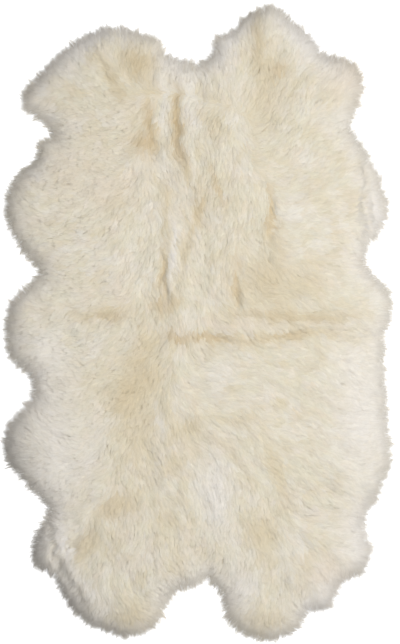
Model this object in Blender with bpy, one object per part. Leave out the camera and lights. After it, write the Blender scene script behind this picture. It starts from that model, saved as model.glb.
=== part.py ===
"""Sheepskin rug of four pelts, sewn two by two and lying flat with the wool up.

Each pelt is one closed solid of hide and wool.  It has a flat underside, an
upright face where it is sewn to its neighbours, and a rolled rim where its wool
falls to the floor.  Units are metres.  +Z is up and +Y runs along the rug, from
its near end to its far end.  The origin is on the floor under the rug's middle.
"""

import math
from collections import namedtuple

import bmesh
import bpy
import numpy as np
from mathutils import Vector
from mathutils.geometry import delaunay_2d_cdt

# ------------------------------------------------------------------ sizes
FLEECE_HEIGHT = 0.052  # top of the wool over the floor, away from rims and seams
RIM_WALL = 0.005       # height of the outermost wool tips over the floor
RIM_ROLL = 0.085       # width over which the wool climbs from the rim
SEAM_DIP = 0.004       # how far the wool sinks where two pelts meet
SEAM_ROLL = 0.040      # width of that dip to each side of the seam
SEAM_GAP = 0.0003      # clear space between two pelts

RIM_STEP = 0.015       # spacing of the points along the free rim
SEAM_STEP = 0.034      # spacing of the points along the seams
FIELD_STEP = 0.034     # spacing of the points inside a pelt
RIM_ROWS = (0.009, 0.026, 0.052)  # distances of the closer rows that shape the rim

# ------------------------------------------------------------------ seams
Point = namedtuple("Point", "x y")
CROSSING = Point(0.004, -0.044)      # where the four pelts meet
FAR_NOTCH = Point(-0.005, 0.732)     # far end of the seam along the rug
NEAR_NOTCH = Point(0.018, -0.727)    # near end of the same seam
LEFT_END = Point(-0.550, -0.032)     # left end of the seam across the rug
RIGHT_END = Point(0.522, -0.040)     # right end of the same seam

# ------------------------------------------------------------------ rims
# The free rim of each pelt, going round the rug to the left from its far notch.
# A landmark is where the rim turns, named for the part of the skin it bounds.
Landmark = namedtuple("Landmark", "part x y")
FAR_LEFT_RIM = (
    Landmark("neck", -0.066, 0.747),
    Landmark("neck", -0.100, 0.762),
    Landmark("neck", -0.108, 0.794),
    Landmark("neck", -0.182, 0.820),
    Landmark("shoulder", -0.256, 0.832),
    Landmark("shoulder", -0.345, 0.795),
    Landmark("shoulder", -0.412, 0.740),
    Landmark("foreleg", -0.490, 0.655),
    Landmark("foreleg", -0.497, 0.602),
    Landmark("elbow", -0.434, 0.550),
    Landmark("elbow", -0.418, 0.526),
    Landmark("elbow", -0.454, 0.504),
    Landmark("belly", -0.464, 0.457),
    Landmark("belly", -0.524, 0.402),
    Landmark("belly", -0.548, 0.332),
    Landmark("belly", -0.536, 0.258),
    Landmark("flank", -0.486, 0.177),
    Landmark("flank", -0.453, 0.140),
    Landmark("flank", -0.484, 0.110),
    Landmark("thigh", -0.537, 0.052),
)
NEAR_LEFT_RIM = (
    Landmark("thigh", -0.537, -0.104),
    Landmark("flank", -0.483, -0.152),
    Landmark("flank", -0.478, -0.208),
    Landmark("belly", -0.515, -0.255),
    Landmark("belly", -0.548, -0.302),
    Landmark("belly", -0.545, -0.387),
    Landmark("elbow", -0.482, -0.464),
    Landmark("elbow", -0.430, -0.524),
    Landmark("foreleg", -0.448, -0.568),
    Landmark("foreleg", -0.474, -0.630),
    Landmark("foreleg", -0.463, -0.688),
    Landmark("shoulder", -0.418, -0.714),
    Landmark("shoulder", -0.375, -0.788),
    Landmark("shoulder", -0.312, -0.851),
    Landmark("neck", -0.198, -0.888),
    Landmark("neck", -0.122, -0.856),
    Landmark("neck", -0.084, -0.790),
    Landmark("neck", -0.055, -0.756),
    Landmark("neck", -0.012, -0.748),
)
NEAR_RIGHT_RIM = (
    Landmark("neck", 0.054, -0.764),
    Landmark("neck", 0.073, -0.830),
    Landmark("neck", 0.115, -0.876),
    Landmark("neck", 0.198, -0.896),
    Landmark("neck", 0.280, -0.864),
    Landmark("shoulder", 0.306, -0.820),
    Landmark("shoulder", 0.368, -0.802),
    Landmark("shoulder", 0.399, -0.742),
    Landmark("foreleg", 0.462, -0.702),
    Landmark("foreleg", 0.484, -0.640),
    Landmark("elbow", 0.468, -0.558),
    Landmark("elbow", 0.500, -0.500),
    Landmark("belly", 0.540, -0.390),
    Landmark("flank", 0.532, -0.280),
    Landmark("thigh", 0.526, -0.160),
)
FAR_RIGHT_RIM = (
    Landmark("thigh", 0.545, 0.020),
    Landmark("thigh", 0.533, 0.092),
    Landmark("flank", 0.482, 0.148),
    Landmark("flank", 0.470, 0.192),
    Landmark("belly", 0.511, 0.254),
    Landmark("belly", 0.532, 0.322),
    Landmark("belly", 0.509, 0.400),
    Landmark("elbow", 0.474, 0.476),
    Landmark("elbow", 0.431, 0.545),
    Landmark("foreleg", 0.447, 0.602),
    Landmark("foreleg", 0.463, 0.660),
    Landmark("foreleg", 0.444, 0.719),
    Landmark("shoulder", 0.400, 0.747),
    Landmark("shoulder", 0.356, 0.755),
    Landmark("shoulder", 0.315, 0.800),
    Landmark("neck", 0.244, 0.870),
    Landmark("neck", 0.194, 0.893),
    Landmark("neck", 0.128, 0.862),
    Landmark("neck", 0.088, 0.822),
    Landmark("neck", 0.040, 0.802),
    Landmark("neck", 0.030, 0.754),
)

# ------------------------------------------------------------------ relief
# Broad swells and hollows of the wool.  `across` and `along` are the distances
# in X and Y over which one fades, and `rise` is negative for a hollow.
Swell = namedtuple("Swell", "x y across along rise")
SWELLS = (
    Swell(-0.290, 0.640, 0.110, 0.110, 0.005),
    Swell(-0.100, 0.520, 0.045, 0.130, -0.008),
    Swell(-0.330, 0.300, 0.130, 0.120, 0.004),
    Swell(0.170, 0.620, 0.060, 0.130, -0.006),
    Swell(0.330, 0.560, 0.090, 0.160, 0.005),
    Swell(0.110, 0.330, 0.080, 0.070, 0.004),
    Swell(0.300, 0.180, 0.120, 0.120, 0.005),
    Swell(-0.150, 0.120, 0.060, 0.110, -0.005),
    Swell(-0.150, -0.260, 0.070, 0.160, -0.006),
    Swell(-0.360, -0.330, 0.110, 0.120, 0.005),
    Swell(0.140, -0.330, 0.090, 0.160, 0.003),
    Swell(0.380, -0.280, 0.100, 0.200, 0.005),
    Swell(-0.240, -0.620, 0.120, 0.100, 0.004),
    Swell(0.210, -0.540, 0.060, 0.110, -0.005),
)

# ------------------------------------------------------------------ pelts
# `start` and `end` are the seam ends that the rim runs between, `side` and
# `end_way` say which way the pelt lies from the crossing, `wool` is its colour.
Pelt = namedtuple("Pelt", "name start rim end side end_way wool")
PELTS = (
    Pelt("pelt_far_left", FAR_NOTCH, FAR_LEFT_RIM, LEFT_END, -1, 1, (0.67, 0.62, 0.50)),
    Pelt("pelt_near_left", LEFT_END, NEAR_LEFT_RIM, NEAR_NOTCH, -1, -1, (0.66, 0.62, 0.52)),
    Pelt("pelt_near_right", NEAR_NOTCH, NEAR_RIGHT_RIM, RIGHT_END, 1, -1, (0.71, 0.66, 0.55)),
    Pelt("pelt_far_right", RIGHT_END, FAR_RIGHT_RIM, FAR_NOTCH, 1, 1, (0.72, 0.67, 0.54)),
)
WOOL_ROUGHNESS = 0.9


def straight_run(start, end, step):
    """Evenly spaced points from start up to, but not including, end."""
    start, end = np.array(start), np.array(end)
    count = max(1, round(float(np.linalg.norm(end - start)) / step))
    return [start + (end - start) * i / count for i in range(count)]


def smooth_run(points, step):
    """Points about step apart on a Catmull-Rom curve, without its last point."""
    points = [np.array(p) for p in points]
    before = 2 * points[0] - points[1]
    after = 2 * points[-1] - points[-2]
    padded = [before] + points + [after]
    run = []
    for p0, p1, p2, p3 in zip(padded, padded[1:], padded[2:], padded[3:]):
        count = max(1, round(float(np.linalg.norm(p2 - p1)) / step))
        for t in np.arange(count) / count:
            bend = (2 * p0 - 5 * p1 + 4 * p2 - p3) * t**2
            twist = (3 * p1 - p0 - 3 * p2 + p3) * t**3
            run.append(0.5 * (2 * p1 + (p2 - p0) * t + bend + twist))
    return run


def rim_of(pelt):
    """The pelt's free rim, from one seam end to the other."""
    landmarks = [(mark.x, mark.y) for mark in pelt.rim]
    return smooth_run([pelt.start, *landmarks, pelt.end], RIM_STEP)


def outline_of(pelt):
    """The pelt's whole outline, to the left all the way: its rim, then two seams."""
    rim = rim_of(pelt)
    seams = straight_run(pelt.end, CROSSING, SEAM_STEP) + straight_run(
        CROSSING, pelt.start, SEAM_STEP
    )
    return np.array(rim + seams), len(rim)


def distance_to(points, starts, ends):
    """Distance of each point from the nearest of the segments."""
    along = ends - starts
    offset = points[:, None] - starts[None]
    share = (offset * along).sum(2) / (along**2).sum(1)
    foot = starts + np.clip(share, 0, 1)[..., None] * along
    return np.linalg.norm(points[:, None] - foot, axis=2).min(1)


def wool_height(points, rim, centre):
    """Height of the wool over the floor at each point."""
    seam_starts = np.array([CROSSING] * 4) - centre
    seam_ends = np.array([FAR_NOTCH, NEAR_NOTCH, LEFT_END, RIGHT_END]) - centre
    inset = distance_to(points, rim, np.roll(rim, -1, axis=0))
    climb = np.sqrt(1 - (1 - np.clip(inset / RIM_ROLL, 0, 1)) ** 2)
    from_seam = distance_to(points, seam_starts, seam_ends)
    top = FLEECE_HEIGHT - SEAM_DIP * np.exp(-((from_seam / SEAM_ROLL) ** 2))
    for swell in SWELLS:
        away_x = (points[:, 0] + centre[0] - swell.x) / swell.across
        away_y = (points[:, 1] + centre[1] - swell.y) / swell.along
        top += swell.rise * np.exp(-(away_x**2) - away_y**2)
    return RIM_WALL + (top - RIM_WALL) * climb


def inner_points(outline, rim_count):
    """Rows that follow the rim closely, then an even field of points."""
    edge_starts, edge_ends = outline, np.roll(outline, -1, axis=0)
    heading = np.roll(outline, -1, axis=0) - np.roll(outline, 1, axis=0)
    inward = np.stack([-heading[:, 1], heading[:, 0]], axis=1)
    inward /= np.linalg.norm(inward, axis=1)[:, None]
    rows = []
    for depth in RIM_ROWS:
        row = (outline + inward * depth)[1:rim_count]
        rows.append(row[distance_to(row, edge_starts, edge_ends) > 0.93 * depth])
    low, high = outline.min(0), outline.max(0)
    row_step = FIELD_STEP * math.sqrt(3) / 2
    field = [
        (low[0] + FIELD_STEP * (column + 0.5 * (line % 2)), low[1] + row_step * line)
        for line in range(int((high[1] - low[1]) / row_step) + 1)
        for column in range(int((high[0] - low[0]) / FIELD_STEP) + 1)
    ]
    field = np.array(field)
    clear = distance_to(field, edge_starts[:rim_count], edge_ends[:rim_count])
    off_seam = distance_to(field, edge_starts[rim_count:], edge_ends[rim_count:])
    keep = (clear > RIM_ROWS[-1] + 0.6 * RIM_STEP) & (off_seam > 0.4 * FIELD_STEP)
    return np.concatenate(rows + [field[keep & inside(field, outline)]])


def inside(points, outline):
    """Whether each point is inside the outline, by counting crossings."""
    x1, y1 = outline.T
    x2, y2 = np.roll(outline, -1, axis=0).T
    px, py = points[:, 0, None], points[:, 1, None]
    spans = (y1 > py) != (y2 > py)
    rise = np.where(y1 == y2, 1.0, y2 - y1)
    crossing_x = x1 + (py - y1) * (x2 - x1) / rise
    return ((spans & (px < crossing_x)).sum(1) % 2) == 1


def pelt_solid(pelt, rim, centre):
    """The pelt as one closed mesh: a flat underside, walls, and the wool's top."""
    outline, rim_count = outline_of(pelt)
    outline = outline - centre
    points = np.concatenate([outline, inner_points(outline, rim_count)])
    border = [(i, (i + 1) % len(outline)) for i in range(len(outline))]
    keep_inside = 1
    flat, _, faces, *_ = delaunay_2d_cdt(
        [Vector(p) for p in points], border, [], keep_inside, 1e-6
    )
    heights = wool_height(np.array([p[:] for p in flat]), rim, centre)
    aside = Vector((pelt.side, pelt.end_way, 0.0)) * SEAM_GAP / 2

    mesh = bmesh.new()
    ground = [mesh.verts.new(Vector((p.x, p.y, 0.0)) + aside) for p in flat]
    wool = [
        mesh.verts.new(Vector((p.x, p.y, z)) + aside) for p, z in zip(flat, heights)
    ]
    for face in faces:
        mesh.faces.new([wool[i] for i in face])
    underside = [mesh.faces.new([ground[i] for i in reversed(face)]) for face in faces]
    rim_edges = [e for e in mesh.edges if e.is_boundary]
    bmesh.ops.bridge_loops(mesh, edges=rim_edges)
    bmesh.ops.dissolve_faces(mesh, faces=underside)
    bmesh.ops.recalc_face_normals(mesh, faces=mesh.faces)
    data = bpy.data.meshes.new(pelt.name)
    mesh.to_mesh(data)
    mesh.free()
    data.shade_smooth()
    data.set_sharp_from_angle(angle=math.radians(40))
    return data


def wool_material(pelt):
    """Matt wool in the pelt's own shade of ivory."""
    material = bpy.data.materials.new(pelt.name + "_wool")
    material.use_nodes = True
    shader = material.node_tree.nodes["Principled BSDF"]
    shader.inputs["Base Color"].default_value = (*pelt.wool, 1.0)
    shader.inputs["Roughness"].default_value = WOOL_ROUGHNESS
    shader.inputs["Metallic"].default_value = 0.0
    return material


def build():
    for old in list(bpy.data.objects):
        bpy.data.objects.remove(old)
    collection = bpy.data.collections.new("sheepskin_rug")
    bpy.context.scene.collection.children.link(collection)
    rim = np.concatenate([rim_of(pelt) for pelt in PELTS])
    centre = (rim.min(0) + rim.max(0)) / 2
    for pelt in PELTS:
        data = pelt_solid(pelt, rim - centre, centre)
        data.materials.append(wool_material(pelt))
        collection.objects.link(bpy.data.objects.new(pelt.name, data))


build()
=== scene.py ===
"""The looks of a four-pelt sheepskin rug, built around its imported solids.

Every pelt gets a suede hide, a dense under-wool and some tens of thousands of
wool strands, gathered in pointed locks that are combed over the rug.  Units are
metres, +Z is up and +Y is the rug's far end, as in the solids.
"""

import math
from collections import namedtuple
from itertools import starmap

import bmesh
import bpy
import numpy as np
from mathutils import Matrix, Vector
from mathutils.bvhtree import BVHTree
from mathutils.geometry import delaunay_2d_cdt


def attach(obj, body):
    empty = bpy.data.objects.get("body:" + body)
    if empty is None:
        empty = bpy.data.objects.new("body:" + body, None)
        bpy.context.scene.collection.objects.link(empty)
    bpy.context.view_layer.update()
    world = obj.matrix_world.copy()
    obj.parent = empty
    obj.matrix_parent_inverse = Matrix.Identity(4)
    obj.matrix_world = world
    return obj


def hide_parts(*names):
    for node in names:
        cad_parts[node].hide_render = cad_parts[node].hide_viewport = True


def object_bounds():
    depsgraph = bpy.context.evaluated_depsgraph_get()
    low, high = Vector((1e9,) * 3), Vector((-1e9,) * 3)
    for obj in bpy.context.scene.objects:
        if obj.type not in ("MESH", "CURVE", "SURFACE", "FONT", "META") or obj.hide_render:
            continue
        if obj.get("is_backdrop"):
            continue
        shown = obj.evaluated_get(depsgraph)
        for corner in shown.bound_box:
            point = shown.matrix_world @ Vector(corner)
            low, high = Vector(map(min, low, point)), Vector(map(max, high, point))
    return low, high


SEED = 4

# ---- maps
GRID_STEP = 0.005  # spacing of the maps that the wool is placed from
GRID_MARGIN = 0.060  # how far they reach past the solids
TOUCHING = 0.002  # outlines closer than this are sewn together
SEAM_NUDGE = 0.0006  # how far aside a point is tested, to bridge a seam's gap
RAY_NUDGE = 0.001  # how far aside a ray is tried again at such a gap
FACING_DOWN = -0.99  # how steeply a face of the underside looks down
POINTS_AT_ONCE = 4000  # points compared with an outline in one go

# ---- locks
LOCK_STEP = 0.0098  # spacing of the locks' tips
LOCK_JITTER = 0.42  # how far they stray from even rows, as a share of that
LOCK_REACH = 0.044  # how far a lock leans sideways, from root to tip
REACH_RANGE = (0.8, 1.2)  # how the reach varies, as a share of itself
LOCK_WIDTH = 0.013  # how wide the strands of one lock spread near its root
LOCK_TAPER = (1.0, 0.95, 0.85, 0.55)  # its width at each bend, as a share of that
LOCK_DEPTH = 0.0015  # how far a lock lies under the top of the fleece
LOCK_DEPTH_SPREAD = 0.0008
CROWN = 0.0026  # how much higher a lock's middle lies than its sides
CRIMP = 0.0022  # how far a lock waves sideways
CRIMP_WAVES = 1.4  # how many waves it makes
SHARPEST_BEND = 0.6  # cosine of the most that a lock turns at once
ROOT_INSET = 0.010  # how far inside the rim every root lies
ROOT_DEPTH = 0.003  # how deep a lock starts inside the under-wool
ROOT_CURVE = 2.2  # how quickly a lock rises from there

# ---- strands
STRANDS_PER_LOCK = 7
STRAND_WIDTH = 0.0060  # widest point of a strand
WIDTH_RANGE = (0.7, 1.2)  # how the width varies, as a share of itself
STRAND_STEPS = (0.0, 0.4, 0.75, 1.0)  # shares of a strand's length where it bends
STRAND_TAPER = (0.80, 1.0, 0.75, 0.0)  # its width there, as a share of the widest
SPOT_SPREAD = 0.12  # how unevenly strands share a lock, in half lock widths
PHASE_SPREAD = 0.3  # how much their waves differ, in radians
DEPTH_SPREAD = 0.001  # how much deeper one lies than another
SLIP = 0.0030  # how unevenly they end
ROLL = 0.6  # how far those at a lock's sides roll outwards, in radians
ROLL_SPREAD = 0.2
ROUNDNESS = 0.27  # how much a strand's own roll shows in its shading
FLOOR_CLEARANCE = 0.0012  # the lowest that any wool comes to the floor
MIDDLE_CLEARANCE = 0.0018  # the lowest that the middle of a strand does

# ---- rim
RIM_BAND = 0.022  # how wide the rim is where tips are twice as dense
RIM_OVERHANG = 0.0048  # how far the tips stand past the solids' rim
RIM_RAGGED = 0.0035  # how unevenly they end there
RIM_FINE_WIDTH = 0.030  # how far inside the rim its finer strands reach
RIM_STRAND_WIDTH = 0.0016  # widest point of those strands
RIM_TAPER = (1.0, 0.95, 0.80, 0.55)  # the taper of the locks there
RIM_SLIP = 1.6  # how much more unevenly their strands end
RIM_SOFTENING = 16  # passes of averaging that soften the rim's shading
RIM_SMOOTH_WIDTH = 0.04  # how far inside the rim tufts and creases fade out
RIM_PULL = 1.6  # how strongly the rim draws the wool outwards
RIM_PULL_WIDTH = 0.060

# ---- relief
TUFT_WIDTH = 0.022  # size of the tufts that neighbouring locks gather in
TUFT_LENGTH = 0.034
TUFT_RISE = 0.0012
CLUMP_WIDTH = 0.045  # size of the wider clumps, which lie in no direction
CLUMP_RISE = 0.0022
RIPPLE_WIDTH = 0.009  # size of the ripples, about a lock wide
RIPPLE_LENGTH = 0.05
RIPPLE_RISE = 0.0008

# ---- under-wool
UNDER_DEPTH = 0.0115  # how far the under-wool lies below the lock tips
UNDER_INSET = 0.020  # how far it ends inside the rim
UNDER_STEP = 0.0100  # spacing of its points
UNDER_JITTER = 0.15
UNDER_LOWEST = 0.007  # the least height of its top over the floor
UNDER_LIFT = 0.0004  # clear space between it and the hide
UNDER_TUFT_WIDTH = 0.013  # size of its own tufts
UNDER_TUFT_RISE = 0.0010

# ---- hide
LEAST_INSET = 0.9  # how deep a drawn-in point lies at least, as a share
CORNER_CLEAR = 1.3  # how far seam points stay from a drawn-in rim, as a share
HIDE_THICKNESS = 0.0018
HIDE_LIFT = 0.0009  # its underside over the floor, which the stitches fill
HIDE_INSET = 0.028  # how far the cut edge lies inside the wool tips
HIDE_STEP = 0.030
HIDE_JITTER = 0.1
SHARP_EDGE = 50  # degrees from which a plate's edge is shaded as sharp
STITCH_PITCH = 0.0055
STITCH_REACH = 0.0045  # how far a stitch reaches to each side of the seam
STITCH_SLANT = 0.0022
STITCH_FLAT = 0.8  # the share of it that lies flat before it turns up
THREAD_RADIUS = 0.0004
THREAD_CLEARANCE = 0.00005  # between the thread and the floor
SEWN_FROM = ("pelt_far_left", "pelt_near_right")  # two pelts that touch every seam

# ---- combing
# Where the wool is combed to.  `heading` is in degrees, 0 to the right and 90 to
# the far end, and `reach` is how far a stroke carries.
Stroke = namedtuple("Stroke", "x y heading reach")
STROKES = (
    # far left pelt
    (-0.25, 0.76, 102, 0.08),
    (-0.12, 0.72, 92, 0.07),
    (-0.40, 0.66, 170, 0.10),
    (-0.28, 0.60, 172, 0.08),
    (-0.10, 0.56, 262, 0.08),
    (-0.30, 0.45, 198, 0.09),
    (-0.42, 0.36, 190, 0.10),
    (-0.10, 0.42, 300, 0.06),
    (-0.30, 0.28, 216, 0.09),
    (-0.10, 0.16, 276, 0.10),
    (-0.42, 0.08, 190, 0.10),
    (-0.28, 0.06, 206, 0.08),
    # near left pelt
    (-0.40, -0.10, 172, 0.10),
    (-0.18, -0.10, 236, 0.08),
    (-0.42, -0.32, 176, 0.10),
    (-0.22, -0.28, 240, 0.08),
    (-0.08, -0.36, 284, 0.09),
    (-0.38, -0.56, 215, 0.09),
    (-0.20, -0.56, 268, 0.10),
    (-0.32, -0.72, 248, 0.08),
    (-0.16, -0.76, 282, 0.09),
    # near right pelt
    (0.08, -0.16, 340, 0.08),
    (0.36, -0.14, 352, 0.10),
    (0.10, -0.42, 296, 0.09),
    (0.24, -0.34, 318, 0.08),
    (0.42, -0.36, 356, 0.10),
    (0.08, -0.62, 268, 0.09),
    (0.22, -0.62, 290, 0.08),
    (0.38, -0.58, 338, 0.08),
    (0.20, -0.80, 280, 0.09),
    # far right pelt
    (0.36, 0.02, 344, 0.10),
    (0.18, 0.04, 332, 0.08),
    (0.06, 0.14, 272, 0.09),
    (0.34, 0.22, 2, 0.10),
    (0.12, 0.32, 250, 0.08),
    (0.42, 0.40, 20, 0.09),
    (0.26, 0.46, 40, 0.08),
    (0.06, 0.52, 262, 0.08),
    (0.36, 0.62, 60, 0.09),
    (0.20, 0.72, 80, 0.10),
    (0.06, 0.70, 100, 0.07),
)
SWIRL = 25.0  # how far, in degrees, the wool strays from the strokes
SWIRL_SIZE = 0.070
SMALL_SWIRL = 20.0  # the same for smaller swirls
SMALL_SWIRL_SIZE = SWIRL_SIZE / 3

# ---- creases
# Lines along which the wool parts and its tips sink.
Crease = namedtuple("Crease", "x1 y1 x2 y2 width depth")
CREASES = (
    (0.02, -0.052, 0.105, -0.06, 0.006, 0.006),
    (0.105, -0.06, 0.135, -0.03, 0.005, 0.006),
    (0.2, -0.07, 0.26, -0.038, 0.006, 0.006),
    (0.26, -0.038, 0.34, -0.024, 0.006, 0.005),
    (0.34, -0.024, 0.5, -0.04, 0.006, 0.004),
    (0.15, 0.004, 0.25, 0.004, 0.006, 0.003),
    (0.295, 0.008, 0.32, 0.004, 0.007, 0.004),
    (0.39, 0.01, 0.44, -0.006, 0.007, 0.003),
    (-0.33, 0.014, -0.205, 0.004, 0.01, 0.005),
    (-0.365, -0.04, -0.335, -0.06, 0.009, 0.006),
    (-0.165, -0.04, -0.16, -0.068, 0.006, 0.005),
    (-0.066, 0.65, -0.056, 0.45, 0.012, 0.004),
    (-0.15, 0.6, -0.12, 0.46, 0.01, 0.003),
    (-0.29, 0.74, -0.22, 0.61, 0.01, 0.004),
    (-0.1, 0.19, -0.098, 0.05, 0.009, 0.006),
    (-0.03, 0.25, -0.058, 0.08, 0.007, 0.004),
    (0.205, 0.35, 0.206, 0.23, 0.009, 0.006),
    (0.108, 0.15, 0.102, 0.03, 0.009, 0.006),
    (0.462, 0.44, 0.476, 0.33, 0.007, 0.014),
    (0.476, 0.33, 0.47, 0.215, 0.007, 0.014),
    (-0.428, -0.56, -0.392, -0.69, 0.009, 0.01),
    (-0.392, -0.69, -0.33, -0.78, 0.01, 0.006),
    (-0.35, -0.56, -0.345, -0.64, 0.01, 0.005),
)

# ---- colours
CREAM = (0.815, 0.778, 0.655)
TINTS = {
    "straw": (0.750, 0.664, 0.482),
    "amber": (0.668, 0.540, 0.335),
    # paler wool, used on some rims also as painted light for wool that slopes away from the
    # lamps
    "chalk": (0.875, 0.845, 0.802),
    "blush": (0.830, 0.755, 0.650),
    # painted shade: a grey that darkens wool where the lamps leave it in shade
    "smoke": (0.590, 0.565, 0.535),
}
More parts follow.
